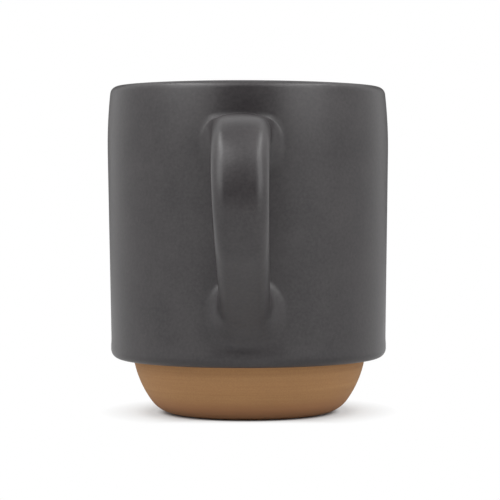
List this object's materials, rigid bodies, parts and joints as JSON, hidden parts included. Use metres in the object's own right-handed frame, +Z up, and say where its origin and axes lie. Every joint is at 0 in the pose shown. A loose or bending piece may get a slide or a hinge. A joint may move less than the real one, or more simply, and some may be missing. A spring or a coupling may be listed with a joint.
{
  "type": "mug",
  "caption": "Straight-sided stoneware mug with a strap handle, a dark satin glaze and a narrower bare clay foot that fits inside the rim of a second mug.",
  "frame": {"origin": "centre of the flat foot ring, on the mug's axis at the table", "axes": "+Z up along the mug's axis, -Y towards the handle, X across it"},
  "size_m": [0.086, 0.119, 0.1],
  "materials": {
    "mug": "satin"
  },
  "bodies": {
    "root": {"mug": "mug"}
  },
  "joints": []
}
